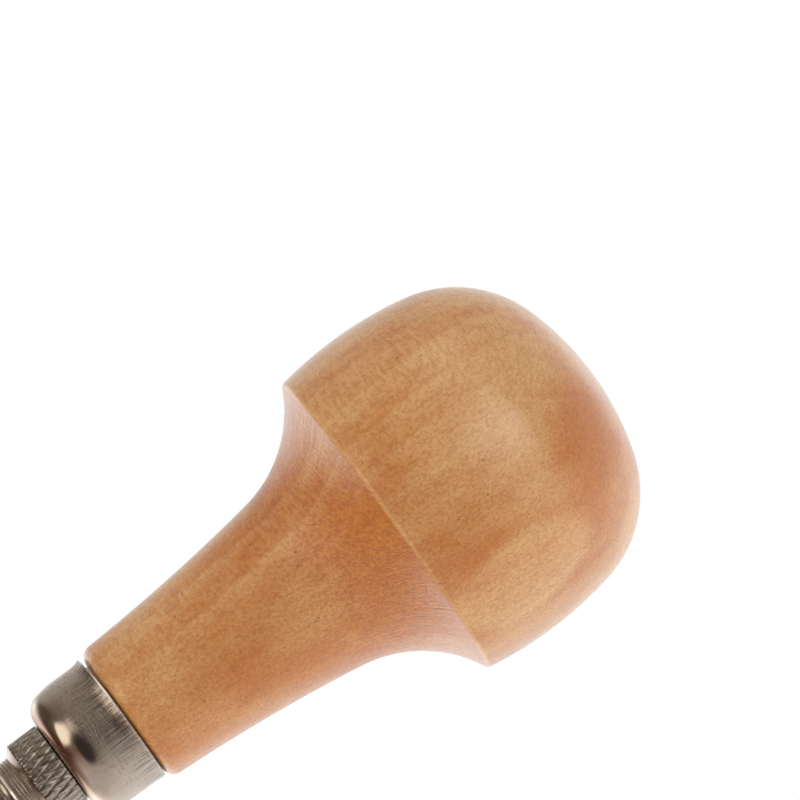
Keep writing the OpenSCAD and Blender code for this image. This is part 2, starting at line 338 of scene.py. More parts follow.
class Knurl:
    """A diamond knurl on a turned piece: V lines both ways, laid out as on the solid."""

    # mesh cells in one pitch, room under the floor of the lines, and what still counts as the full radius
    CELLS = 10
    FLOOR_ROOM = 1.05
    FULL_SHARE = 0.9999

    def __init__(self, sizes, d, z, length, seed):
        self.r, self.z, self.depth = d / 2, z, sizes.depth
        self.depths = (sizes.depth - sizes.ease, sizes.depth)
        self.count = floor(pi * d / sizes.pitch)
        self.gap = pi * d / self.count
        self.rows = max(1, round(2 * length * tan(sizes.slope) / self.gap))
        self.steps = self.count * self.CELLS
        self.cells = self.rows * self.CELLS // 2
        self.cell_h = length / self.cells
        self.end_z = z + length
        self.phase = (self.rows + 1) / 4
        draw = Random(seed)
        self.cuts = [[1 - sizes.wander * draw.random() for _ in range(self.count)] for _ in range(2)]
        self.spread, self.wander = sizes.spread, sizes.wander

    def depth_at(self, turn, z):
        """Depth of the cuts at a place, from its angle and its height."""
        across = turn / (2 * pi) * self.count
        along = ((z - self.z) / self.cell_h - self.cells / 2) / self.CELLS
        place = Vector((self.r * cos(turn), self.r * sin(turn), z)) / self.gap
        deepest = 0
        for side, depth, cuts in zip((-1, 1), self.depths, self.cuts):
            line = across - side * self.phase + side * along
            nearest = round(line)
            share_left = 1 - abs(line - nearest) * self.gap / (depth * self.spread)
            unevenness = abs(noise.noise(place + Vector((0, 0, side))))
            pressed = cuts[nearest % self.count] * (1 - self.wander * unevenness)
            deepest = max(deepest, share_left * depth * pressed)
        return deepest

    def cut(self, bm):
        """Cuts the lines into the band that stands above their floor, and into the bevels at its ends."""
        floor_r = self.r - self.depth * self.FLOOR_ROOM
        band = [f for f in bm.faces if all(hypot(v.co.x, v.co.y) > floor_r for v in f.verts)]
        bmesh.ops.poke(bm, faces=band)
        for v in bm.verts:
            r = hypot(v.co.x, v.co.y)
            if r > floor_r:
                full = self.r if r > self.r * cos(pi / self.steps) * self.FULL_SHARE else r
                deep = self.r - self.depth_at(atan2(v.co.y, v.co.x), v.co.z)
                scale = min(full, deep) / r
                v.co.x *= scale
                v.co.y *= scale


# Materials


class Nodes:
    """Adds nodes to a node tree and joins them."""

    def __init__(self, tree):
        self.tree = tree

    def add(self, kind, inputs=None, out=0, **settings):
        """Adds a node and gives one output. Inputs are numbers, colours or outputs of other nodes."""
        node = self.tree.nodes.new("ShaderNode" + kind)
        for key, value in settings.items():
            setattr(node, key, value)
        for key, value in (inputs or {}).items():
            self.join(value, node.inputs[key])
        return node.outputs[out]

    def join(self, value, socket):
        """Links an output to a socket, or sets the socket to a plain value."""
        if isinstance(value, bpy.types.NodeSocket):
            self.tree.links.new(value, socket)
        else:
            socket.default_value = value

    def math(self, operation, a, b=0.0, c=0.0):
        return self.add("Math", {0: a, 1: b, 2: c}, operation=operation)

    def times(self, a, b):
        return self.math("MULTIPLY", a, b)

    def minus(self, a, b):
        return self.math("SUBTRACT", a, b)

    def weigh(self, value, weight, base):
        """A weighted value on top of a base."""
        return self.math("MULTIPLY_ADD", value, weight, base)

    def swing(self, value, weight, base):
        """The weighted swing of a noise about its middle, on top of a base."""
        return self.weigh(self.minus(value, 0.5), weight, base)

    def vector(self, operation, *vectors, **inputs):
        """Vector operation, which gives a plain value for a length or a distance."""
        inputs.update(enumerate(vectors))
        out = "Value" if operation in {"LENGTH", "DISTANCE"} else "Vector"
        return self.add("VectorMath", inputs, out=out, operation=operation)

    def span(self, value, low, high, to_low=0.0, to_high=1.0):
        """Smooth step of a value between two levels."""
        return self.add(
            "MapRange", {0: value, 1: low, 2: high, 3: to_low, 4: to_high}, interpolation_type="SMOOTHSTEP"
        )

    def mix(self, amount, a, b, blend="MIX"):
        return self.add("Mix", {0: amount, 6: a, 7: b}, out=2, data_type="RGBA", blend_type=blend)

    def bump(self, height, strength, distance):
        return self.add("Bump", {"Strength": strength, "Distance": distance, "Height": height})

    def output(self, kind, shader):
        """Ends the tree in the output of a material or a world."""
        self.join(shader, self.tree.nodes.new("ShaderNodeOutput" + kind).inputs["Surface"])

    def here(self):
        """Coordinates of the piece itself, one output for each axis."""
        return self.add("SeparateXYZ", {0: self.add("TexCoord", out="Object")}).node.outputs

    def place(self, grain, turn=0.0, shift=(0, 0, 0)):
        """Coordinates of the piece, turned about its axis and counted in grains of these millimetres."""
        here = self.add("TexCoord", out="Object")
        sizes = [step * MM for step in grain]
        return self.add(
            "Mapping", {"Vector": here, "Location": shift, "Rotation": (0, 0, turn), "Scale": sizes},
            vector_type="TEXTURE",
        )

    def noise(self, vector, detail=2.0, roughness=0.5, distortion=0.0):
        inputs = {"Vector": vector, "Scale": 1.0, "Detail": detail}
        inputs.update(Roughness=roughness, Distortion=distortion)
        return self.add("TexNoise", inputs)

    def ramp(self, value, stops):
        """Colour ramp through the given places and colours."""
        out = self.add("ValToRGB", {0: value})
        points = out.node.color_ramp.elements
        for i, (place, colour) in enumerate(stops):
            point = points[i] if i < 2 else points.new(place)
            point.position = place
            point.color = (*colour, 1) if isinstance(colour, tuple) else (colour, colour, colour, 1)
        return out


def new_group(name, inputs, output):
    """An empty shader node group with named values in and one out, and its adder, start and end."""
    tree = bpy.data.node_groups.new(name, "ShaderNodeTree")
    for label, default in inputs.items():
        socket = tree.interface.new_socket(label, in_out="INPUT", socket_type="NodeSocketFloat")
        socket.default_value = default
    tree.interface.new_socket(output, in_out="OUTPUT", socket_type="NodeSocketFloat")
    start, end = tree.nodes.new("NodeGroupInput"), tree.nodes.new("NodeGroupOutput")
    return tree, Nodes(tree), start.outputs, end.inputs[output]


def from_axis(n, here):
    """Distance from the axis of a turned piece."""
    return n.math("SQRT", n.math("ADD", n.math("POWER", here["X"], 2.0), n.math("POWER", here["Y"], 2.0)))


def lines_along(n, radius, spacing, length):
    """Fine uneven lines along a turned piece, following its outline."""
    here = n.here()
    around = n.vector("NORMALIZE", n.add("CombineXYZ", {"X": here["X"], "Y": here["Y"]}))
    spread = n.vector("SCALE", around, Scale=n.math("DIVIDE", radius, spacing))
    along = n.add("CombineXYZ", {"Z": n.math("DIVIDE", here["Z"], length)})
    return n.noise(n.vector("ADD", spread, along), detail=3, roughness=0.65)


def build_drawn_lines(name):
    """Lines that drawing leaves along the steel."""
    values = {"Radius": 6.8 * MM, "Spacing": 0.2 * MM, "Length": 4 * MM}
    tree, n, start, end = new_group(name, values, "Lines")
    n.join(lines_along(n, start["Radius"], start["Spacing"], start["Length"]), end)
    return tree


def build_turning_lines(name):
    """Fine uneven lines around the piece, as a lathe leaves them."""
    tree, n, start, end = new_group(name, {"Spacing": 0.3 * MM, "Wander": 0.15}, "Lines")
    here = n.here()
    facing = n.math("DIVIDE", from_axis(n, here), start["Spacing"])
    height = n.math("DIVIDE", here["Z"], start["Spacing"])
    sway = n.noise(n.place((11, 11, 11)), detail=1)
    bent = n.weigh(sway, start["Wander"], height)
    n.join(n.noise(n.add("CombineXYZ", {"X": facing, "Z": bent}), detail=4, roughness=0.7), end)
    return tree


def build_smudges(name):
    """Cloudy marks of handling."""
    tree, n, start, end = new_group(name, {"Size": 3 * MM}, "Marks")
    fine = n.math("DIVIDE", 1.0, start["Size"])
    scaled = n.vector("SCALE", n.add("TexCoord", out="Object"), Scale=fine)
    n.join(n.noise(scaled, detail=5, roughness=0.6, distortion=0.4), end)
    return tree


def build_knurl_wear(name):
    """From 0 on the floor of a knurl's lines to 1 on its crests, and 1 away from the knurl."""
    values = {"Radius": 4.4 * MM, "Depth": 0.16 * MM, "From": 0.0, "To": 1.0}
    tree, n, start, end = new_group(name, values, "Crest")
    here = n.here()
    depth = n.math("DIVIDE", n.minus(start["Radius"], from_axis(n, here)), start["Depth"])
    crest = n.span(depth, 0.95, 0.0)
    inside = n.math("GREATER_THAN", here["Z"], start["From"])
    inside = n.times(inside, n.math("LESS_THAN", here["Z"], start["To"]))
    n.join(n.minus(1.0, n.times(inside, n.minus(1.0, crest))), end)
    return tree


GROUPS = {
    "drawn_lines": build_drawn_lines, "turning_lines": build_turning_lines, "smudges": build_smudges,
    "knurl_wear": build_knurl_wear,
}


def use_group(n, name, **values):
    """Places a shared group, built the first time, with its own values, and gives its output."""
    node = n.tree.nodes.new("ShaderNodeGroup")
    node.node_tree = bpy.data.node_groups.get(name) or GROUPS[name](name)
    for label, value in values.items():
        n.join(value, node.inputs[label])
    return node.outputs[0]


def fresh_nodes(owner):
    """Empties the node tree of a material or a world, and gives its adder."""
    owner.use_nodes = True
    owner.node_tree.nodes.clear()
    return Nodes(owner.node_tree)


def new_material(name):
    """A plain material with its adder and the inputs of its Principled shader."""
    material = bpy.data.materials.new(name)
    n = fresh_nodes(material)
    shader = n.add("BsdfPrincipled")
    n.output("Material", shader)
    return material, n, shader.node.inputs


# the pith lies outside the handle, and the growth rings are counted from it, from brown (0) to pale (1)
PITH = Vector((27.8, -31.1, 82)) * MM
PITH_LEAN = Vector((-0.015, 0.010, 0))
RINGS_FROM, RINGS_TO = 20 * MM, 60 * MM
RING_SWAY = 1.4 * MM
GROWTH_RINGS = [
    (0.000, 0.62), (0.118, 0.66), (0.132, 0.22), (0.200, 0.27), (0.240, 0.46), (0.252, 0.40), (0.315, 0.54),
    (0.325, 0.42), (0.405, 0.56), (0.415, 0.44), (0.490, 0.60), (0.500, 0.45), (0.585, 0.62), (0.595, 0.47),
    (0.680, 0.56), (0.690, 0.46), (0.780, 0.56), (0.790, 0.46), (1.000, 0.55),
]
# sizes of the wood's patterns in millimetres
WOOD_GRAIN = {
    "sway": (8, 8, 22), "cloud": (9, 9, 16), "mottle": (1.5, 1.5, 2.6), "ray": (1.5, 0.21, 0.38),
    "fibre": (0.17, 0.17, 0.36), "strand": (0.67, 0.67, 5), "pore": (1.05, 1.05, 1.7),
}
# how much darker each place or pattern makes the wood: lacquer taken up by the patterns, partly painted shade
# in the cove, and a plain darkening down the neck
SOAK_AND_SHADE = {"mottle": 0.26, "cove": 0.24, "neck": 0.10, "rings": 0.60, "blot": 0.24}
# a dark blot on the head, from the rim's middle
BLOT = Vector((2, -11, 20)) * MM
FLECK_TINTS = [(0.0, (0.78, 0.61, 0.41)), (0.5, (0.90, 0.83, 0.73)), (1.0, (1.0, 1.0, 1.0))]
LACQUER = {"Specular IOR Level": 0.45, "Coat Weight": 1.0, "Coat Roughness": 0.21, "Coat IOR": 1.52}
WOOD_R = 17.5 * MM


def lacquered_wood(colours, rim_z):
    """Close-grained pale hardwood under a satin lacquer."""
    material, n, surface = new_material("lacquered_wood")
    wood, dark, pale = (*colours.wood, 1), (*colours.wood_dark, 1), (*colours.wood_pale, 1)
    here = n.add("TexCoord", out="Object")
    height = n.here()["Z"]
    # growth rings around the leaning pith
    lean = n.vector("SCALE", PITH_LEAN, Scale=n.minus(height, PITH.z))
    away = n.vector("SUBTRACT", n.vector("SUBTRACT", here, PITH), lean)
    reach = n.vector("LENGTH", n.vector("MULTIPLY", away, (1, 1, 0)))
    reach = n.swing(n.noise(n.place(WOOD_GRAIN["sway"])), RING_SWAY, reach)
    rings = n.ramp(n.add("MapRange", {0: reach, 1: RINGS_FROM, 2: RINGS_TO}), GROWTH_RINGS)
    # darker clouds where the wood took up more lacquer; darker in the cove, where the grain ends and as
    # painted shade under the rim; a little darker down the neck
    cloud = n.noise(n.place(WOOD_GRAIN["cloud"], shift=(0.3, 1.7, 0.4)))
    cove_z, neck_z = rim_z - 4 * MM, rim_z - 13 * MM
    cove = n.times(n.span(height, neck_z, cove_z), n.span(height, rim_z, rim_z - 0.3 * MM))
    neck = n.span(height, cove_z, neck_z)
    soak_and_shade = n.swing(n.noise(n.place(WOOD_GRAIN["mottle"])), SOAK_AND_SHADE["mottle"], cloud)
    soak_and_shade = n.weigh(cove, SOAK_AND_SHADE["cove"], n.weigh(neck, SOAK_AND_SHADE["neck"], soak_and_shade))
    soak_and_shade = n.weigh(n.minus(0.5, rings), SOAK_AND_SHADE["rings"], soak_and_shade)
    off = n.vector("DISTANCE", here, BLOT + Vector((0, 0, rim_z)))
    soak_and_shade = n.math("ADD", soak_and_shade, n.span(off, 8.5 * MM, 2 * MM, 0.0, SOAK_AND_SHADE["blot"]))
    colour = n.mix(n.span(soak_and_shade, 0.34, 0.82), wood, dark)
    colour = n.mix(n.span(rings, 0.5, 0.7, 0.0, 0.2), colour, pale)
    # the rim: paler where the lacquer is worn thin, and a painted highlight along its rounded edge
    from_rim = n.math("ABSOLUTE", n.minus(height, rim_z + 0.05 * MM))
    colour = n.mix(n.span(from_rim, 0.26 * MM, 0.10 * MM, 0.0, 0.28), colour, pale)
    # rays: thin ribbons that point at the pith, dashes on quartered faces and flecks on flat ones
    ray = n.noise(n.place(WOOD_GRAIN["ray"], turn=atan2(PITH.y, PITH.x)))
    # fibres and strands along the handle
    fibre = n.noise(n.place(WOOD_GRAIN["fibre"]), roughness=0.6)
    strand = n.noise(n.place(WOOD_GRAIN["strand"]), detail=3, roughness=0.6)
    fleck = n.swing(strand, 0.35, n.swing(ray, 0.9, fibre))
    fleck = n.swing(fleck, n.weigh(cove, 0.9, 1.0), 0.5)
    fleck = n.add("MapRange", {0: fleck, 1: 0.28, 2: 0.72})
    colour = n.mix(1.0, colour, n.ramp(fleck, FLECK_TINTS), "MULTIPLY")
    # sparse open pores
    spots = n.add("TexVoronoi", {"Vector": n.place(WOOD_GRAIN["pore"]), "Scale": 1.0}).node.outputs
    picked = n.math("LESS_THAN", n.add("SeparateColor", {0: spots["Color"]}), 0.34)
    pores = n.times(n.span(spots["Distance"], 0.11, 0.04, 0.0, 0.85), picked)
    n.join(n.mix(pores, colour, (*colours.wood_pore, 1)), surface["Base Color"])
    n.join(n.span(fibre, 0.2, 0.8, 0.50, 0.40), surface["Roughness"])
    for socket, value in LACQUER.items():
        surface[socket].default_value = value
    relief = n.weigh(fibre, 0.45, lines_along(n, WOOD_R, 0.55 * MM, 9 * MM))
    n.join(n.bump(relief, 0.28, 0.06 * MM), surface["Normal"])
    # the lacquer shrank into streaks in the cove
    streaks = n.times(relief, n.weigh(cove, 2.0, 1.0))
    n.join(n.bump(streaks, 0.70, 0.08 * MM), surface["Coat Normal"])
    return material


FERRULE_R = 6.8 * MM
# spacing and length of the ferrule's fine lines, its scores and the rings around it, in millimetres
DRAWN_MARKS = ((0.14, 2.2), (0.15, 6.0), (1.2, 0.13))
BRIGHT_SCORE = (0.88, 0.84, 0.79, 1)
# reddish brown of the painted reflection on the ferrule's front
PAINTED_REFLECTION_TINT = (0.330, 0.150, 0.100, 1)
# pale of the lip's worn rim, which also serves as a painted highlight on its left side
WORN_AND_LIT_LIP = (0.80, 0.75, 0.70, 1)


def drawn_steel(colours):
    """Satin drawn sheet with lines along it, densest at the cut lip."""
    material, n, surface = new_material("ferrule_steel")
    steel, grime = (*colours.ferrule, 1), (*colours.grime, 1)
    front, lip_end = level("ferrule", 0), level("ferrule", 1)
    here = n.here()
    lines, scores, rings = [
        use_group(n, "drawn_lines", Radius=FERRULE_R, Spacing=spacing * MM, Length=length * MM)
        for spacing, length in DRAWN_MARKS
    ]
    marks = use_group(n, "smudges", Size=3.5 * MM)
    lip = n.span(here["Z"], lip_end - 3.4 * MM, lip_end - 1.0 * MM)
    drawn = n.span(here["Z"], front + 2.3 * MM, front + 3.2 * MM)
    scored = n.times(n.span(scores, 0.52, 0.36), lip)
    shined = n.times(n.span(scores, 0.53, 0.66), lip)
    colour = n.mix(n.times(scored, 0.6), steel, grime)
    colour = n.mix(n.times(shined, 0.5), colour, BRIGHT_SCORE)
    hatch = n.times(n.span(n.math("ADD", lines, rings), 1.0, 0.78, 0.0, 0.35), drawn)
    colour = n.mix(hatch, colour, grime)
    colour = n.mix(n.span(marks, 0.48, 0.75, 0.0, 0.18), colour, grime)
    # painted reflection: a reddish-brown band on the front next to the collar, fading out towards the right,
    # stands in for what the rounded front mirrors
    painted_reflection = n.span(here["Z"], front + 1.0 * MM, front + 0.35 * MM, 0.0, 0.75)
    painted_reflection = n.times(painted_reflection, n.span(here["Z"], front + 0.05 * MM, front + 0.3 * MM, 0.35, 1.0))
    painted_reflection = n.times(painted_reflection, n.span(here["X"], 5 * MM, 2.5 * MM))
    colour = n.mix(painted_reflection, colour, PAINTED_REFLECTION_TINT)
    # the rolled rim of the lip, worn pale and dull, and paler still on its left side as a painted highlight
    rim = n.span(here["Z"], lip_end - 0.34 * MM, lip_end - 0.2 * MM)
    rim = n.times(rim, n.span(here["X"], -1 * MM, -4 * MM, 0.25, 1.0))
    n.join(n.mix(rim, colour, WORN_AND_LIT_LIP), surface["Base Color"])
    n.join(n.weigh(rim, -0.6, 1.0), surface["Metallic"])
    rough = n.weigh(drawn, 0.06, n.span(marks, 0.3, 0.7, 0.08, 0.13))
    # duller next to the collar
    rough = n.math("ADD", rough, n.span(here["Z"], front + 0.4 * MM, front + 0.1 * MM, 0.0, 0.28))
    n.join(n.weigh(lines, 0.06, rough), surface["Roughness"])
    relief = n.weigh(n.times(scores, lip), 1.4, n.weigh(rings, 0.55, lines))
    n.join(n.bump(n.times(relief, drawn), 0.6, 0.05 * MM), surface["Normal"])
    return material


BRIGHT_LINE = (0.84, 0.80, 0.75, 1)
KNURL_REACH = 0.2 * MM
SEAM_SHADE = 0.2


def turned_steel(name, colour, grime, knurl, rough, spacing, dirt, seam=False):
    """Turned and knurled steel, with grime in the knurl's lines and painted shade in the gap behind the
    knurl.
    """
    material, n, surface = new_material(name)
    dark = (*grime, 1)
    lines = use_group(n, "turning_lines", Spacing=spacing, Wander=0.12)
    marks = use_group(n, "smudges", Size=2.2 * MM)
    speck = use_group(n, "smudges", Size=0.4 * MM)
    shade = n.mix(n.span(lines, 0.50, 0.34, 0.0, 0.38), (*colour, 1), dark)
    shade = n.mix(n.span(lines, 0.58, 0.72, 0.0, 0.35), shade, BRIGHT_LINE)
    shade = n.mix(n.span(marks, 0.48, 0.78, 0.0, 0.30), shade, dark)
    if knurl:
        crest = use_group(
            n, "knurl_wear", Radius=knurl.r, Depth=knurl.depth, From=knurl.z - KNURL_REACH,
            To=knurl.end_z + KNURL_REACH,
        )
        sunk = n.times(n.minus(1.0, crest), n.span(speck, 0.30, 0.62, 0.55, 1.0))
        shade = n.mix(n.times(sunk, dirt), shade, dark)
    if seam:
        # painted shade: the seat in the gap between the collar and the ferrule turns near black
        behind = n.span(n.here()["Z"], knurl.end_z - 0.02 * MM, knurl.end_z)
        shade = n.mix(behind, shade, (*[part * SEAM_SHADE for part in grime], 1))
    n.join(shade, surface["Base Color"])
    surface["Metallic"].default_value = 1.0
    ground = n.span(lines, 0.3, 0.7, rough - 0.05, rough + 0.06)
    n.join(n.math("ADD", ground, n.span(speck, 0.3, 0.7, -0.03, 0.05)), surface["Roughness"])
    n.join(n.bump(n.weigh(speck, 0.35, lines), 0.35, 0.02 * MM), surface["Normal"])
    return material


# Pieces


def ferrule_round(s, front_z):
    """Centre of the arc that rounds the ferrule's front."""
    ease_drop = s.ease_r * (1 - cos(s.ease_angle))
    return (s.rear_d / 2 - ease_drop - s.round_r * cos(s.ease_angle), front_z + s.round_r)


class PINVISE_OT_handle(bpy.types.Operator):
    """Turns the wooden handle"""

    bl_idname = "pinvise.handle"
    bl_label = "Wood handle"

    def execute(self, context):
        settings = context.scene.pin_vise
        s, f = settings.handle, settings.ferrule
        crown_z, ferrule_z = level("wood_handle", 1), level("ferrule", 0)
        wood_z = level("ferrule", 1) + s.lip_gap
        rim_z = crown_z - s.head_h
        side_c = Vector((s.head_d / 2 - s.side_r, rim_z + s.belly_h))
        crown_c = Vector((0, crown_z - s.crown_r))
        shoulder_c = far_meet(side_c, s.side_r - s.shoulder_r, crown_c, s.crown_r - s.shoulder_r)
        side_from = -asin(s.belly_h / s.side_r)
        side_to, crown_from = heading(side_c, shoulder_c), heading(crown_c, shoulder_c)
        cove_c = polar(polar(side_c, s.side_r, side_from), s.cove_r, -s.rim_angle)
        front_r = f.lip_d / 2 + s.neck_step
        edge_c = Vector((front_r - s.neck_edge_r, wood_z + s.neck_edge_r))
        front = Vector((front_r, wood_z + s.neck_edge_r))
        neck_c = far_meet(cove_c, s.neck_r - s.cove_r, front, s.neck_r)
        neck_from, cove_from = heading(neck_c, front), heading(neck_c, cove_c)
        tenon_c = ferrule_round(f, ferrule_z)
        tenon_r = f.round_r - f.wall - s.glue_gap
        hole_r = settings.chuck.tang_d / 2 + s.glue_gap
        hole_z = level("chuck_body", 1) + s.hole_room
        outline = Outline(0, hole_z)
        outline.lines((hole_r, hole_z), (hole_r, tenon_c[1] - tenon_r), (tenon_c[0], tenon_c[1] - tenon_r))
        outline.arc(tenon_c, pi / 2, steps=8)
        outline.line(tenon_c[0] + tenon_r, wood_z).line(edge_c[0], wood_z)
        outline.arc(edge_c, pi / 2, steps=10)
        outline.arc(neck_c, cove_from - neck_from, steps=30)
        outline.arc(cove_c, pi - s.rim_angle - cove_from, steps=28).soft(s.rim_soft)
        outline.arc(side_c, side_to - side_from, steps=40)
        outline.arc(shoulder_c, crown_from - side_to, steps=28)
        outline.arc(crown_c, pi / 2 - crown_from, steps=26)
        outline.tip.co.x = 0
        finish_piece(
            outline.turned(HANDLE_STEPS), "turned_handle", "handle", ["wood_handle"],
            lacquered_wood(settings.finish, rim_z), crease=50,
        )
        return {"FINISHED"}


LIP_BEND = 1.1 * MM


def lip_dip(turn):
    """How far the ferrule's cut edge dips at an angle, as a share of the lip's wave."""
    sides = cos(turn) ** 2 * (0.52 - 0.43 * cos(turn))
    return 0.05 + sides + (0.05 * sin(3 * turn - 0.6) + 0.04 * sin(7 * turn))


class PINVISE_OT_ferrule(bpy.types.Operator):
    """Draws the steel ferrule over the front of the handle"""

    bl_idname = "pinvise.ferrule"
    bl_label = "Ferrule"

    def execute(self, context):
        settings = context.scene.pin_vise
        s = settings.ferrule
        front_z, rear_z = level("ferrule", 0), level("ferrule", 1)
        round_c = ferrule_round(s, front_z)
        lip_h = (s.lip_d - s.rear_d) / 2
        lip_r = (s.lip_len ** 2 + lip_h ** 2) / (2 * lip_h)
        lip_z = rear_z - s.lip_len
        inside_r = round_c[0] + s.round_r - s.wall
        ease_c = (s.rear_d / 2 - s.ease_r, round_c[1] - (s.round_r - s.ease_r) * sin(s.ease_angle))
        outline = Outline(s.hole_d / 2, front_z)
        outline.soft(FINE_EDGE).line(round_c[0], front_z)
        outline.arc(round_c, pi / 2 - s.ease_angle, steps=20).arc(ease_c, s.ease_angle, steps=12)
        outline.line(s.rear_d / 2, lip_z, cuts=10)
        outline.arc((s.rear_d / 2 + lip_r, lip_z), -asin(s.lip_len / lip_r), steps=14).soft(PLAIN_EDGE)
        outline.line(inside_r, rear_z).soft(INNER_EDGE).line(inside_r, round_c[1])
        outline.arc(round_c, -pi / 2, steps=10).line(s.hole_d / 2, front_z + s.wall)
        bm = outline.turned(FERRULE_STEPS, closed=True)
        for v in bm.verts:
            near = max(0, 1 - (rear_z - v.co.z) / LIP_BEND)
            turn = atan2(v.co.y, v.co.x)
            v.co.z -= s.lip_wave * lip_dip(turn) * near * near
            r = hypot(v.co.x, v.co.y)
            pressed = max(0, r - s.rear_d / 2) * s.lip_press * max(0, cos(turn)) ** 2
            v.co.x *= 1 - pressed / r
            v.co.y *= 1 - pressed / r
        steel = drawn_steel(settings.finish)
        finish_piece(bm, "drawn_ferrule", "handle", ["ferrule"], steel, crease=40)
        return {"FINISHED"}


# least value and random part of the stem's tool lines: spacing and half width in millimetres, and share
# of the full depth
LINE_SPACING, LINE_HALF_W, LINE_DEPTH = (0.28, 0.42), (0.05, 0.07), (0.35, 0.65)
# where a tool line is deepest, in half widths from its start
LINE_FOOT = 0.6
# half width and foot of the rings behind the bead, in spacings from a ring's middle
RING_HALF_W, RING_FOOT = 0.22, 0.05
# plain stem kept ahead of the groove, and the slope of the groove's front wall
GROOVE_ROOM, GROOVE_SLOPE = 0.1 * MM, 0.04 * MM


def uneven(draw, least, random_part):
    """The least value plus a random share of its random part."""
    return least + random_part * draw.random()


class PINVISE_OT_chuck_body(bpy.types.Operator):
    """Turns and knurls the chuck body"""

    bl_idname = "pinvise.chuck_body"
    bl_label = "Chuck body"

    def execute(self, context):
        settings = context.scene.pin_vise
        s, c, tints = settings.chuck, settings.collet, settings.finish
        nose_z, tang_z = level("chuck_body", 0), level("chuck_body", 1)
        seat_end_z = level("ferrule", 0)
        collar_end_z = seat_end_z - s.seat_len
        collar_z = collar_end_z - s.collar_len
        bevel_z = collar_z - s.bevel_len
        bore_r = c.hub_d / 2 + c.hub_gap
        bore_z = level("collet_hub", 1) + s.back_room
        head_out = nose_z - (c.tip_len + (c.head_d - c.tip_d) / 2 / tan(c.push_angle) + c.land_len)
        socket_r = c.head_d / 2 - head_out * tan(c.taper_angle) + c.taper_gap
        socket_z = nose_z + (socket_r - bore_r) / tan(c.taper_angle)
        thread_r, stem_r, collar_r = s.thread_d / 2, s.stem_d / 2, s.collar_d / 2
        thread_z = level("chuck_nut", 1) - s.thread_cover
        knurl = Knurl(settings.knurl, s.collar_d, collar_z, s.collar_len, seed=4)
        outline = Outline(0, bore_z)
        outline.lines((bore_r, bore_z), (bore_r, socket_z), (socket_r, nose_z))
        outline.line(thread_r, nose_z).soft(FACE_EDGE).line(thread_r, thread_z)
        outline.line(stem_r, thread_z + thread_r - stem_r)
        self.stem(outline, s, bevel_z)
        # the bevel, with corners where the knurl's lines run out on it
        for part in (1.0, 0.63):
            sunk = knurl.depth * part
            outline.line(collar_r - sunk, collar_z - sunk * s.bevel_len / (collar_r - stem_r))
        outline.line(collar_r - s.crest_soft, collar_z)
        outline.line(collar_r, collar_end_z, cuts=knurl.cells)
        for part in (0.5, 1.1):
            outline.line(collar_r - knurl.depth * part, collar_end_z)
        outline.lines((s.seat_d / 2, collar_end_z), (s.seat_d / 2, seat_end_z), (s.tang_d / 2, seat_end_z))
        outline.line(s.tang_d / 2, tang_z).soft(TANG_EDGE).line(0, tang_z)
        bm = outline.turned(knurl.steps)
        knurl.cut(bm)
        steel = turned_steel(
            "chuck_steel", tints.chuck, tints.grime, knurl, rough=0.20, spacing=0.22 * MM, dirt=0.55,
            seam=True,
        )
        finish_piece(bm, "knurled_body", "handle", ["chuck_body"], steel, crease=30)
        return {"FINISHED"}

    @staticmethod
    def stem(outline, s, bevel_z):
        """Draws the stem with the lines of the turning tool, its groove and its bead."""
        r = s.stem_d / 2
        bead_z = bevel_z - s.bead_place
        groove_z = bead_z - s.bead_w / 2 - s.groove_w
        draw = Random(11)
        z = outline.tip.co.z
        while True:
            z += uneven(draw, *LINE_SPACING) * MM
            wide = uneven(draw, *LINE_HALF_W) * MM
            deep = s.line_h * uneven(draw, *LINE_DEPTH)
            if z + 2 * wide > groove_z - GROOVE_ROOM:
                break
            outline.lines((r, z), (r - deep, z + wide * LINE_FOOT), (r, z + 2 * wide))
            z += 2 * wide
        outline.lines((r, groove_z), (r - s.groove_h, groove_z + GROOVE_SLOPE))
        outline.line(r - s.groove_h, groove_z + s.groove_w)
        bead_r = (s.bead_w ** 2 / 4 + s.bead_h ** 2) / (2 * s.bead_h)
        reach = asin(s.bead_w / 2 / bead_r)
        outline.line(r, groove_z + s.groove_w)
        outline.arc((r + s.bead_h - bead_r, bead_z), 2 * reach, steps=10)
        rings = round((bevel_z - outline.tip.co.z) / s.line_gap)
        gap = (bevel_z - outline.tip.co.z) / rings
        for i in range(1, rings):
            z = bevel_z - gap * (rings - i)
            half = gap * RING_HALF_W
            outline.lines((r, z - half), (r - s.line_h, z - gap * RING_FOOT), (r, z + half))
        outline.line(r, bevel_z)


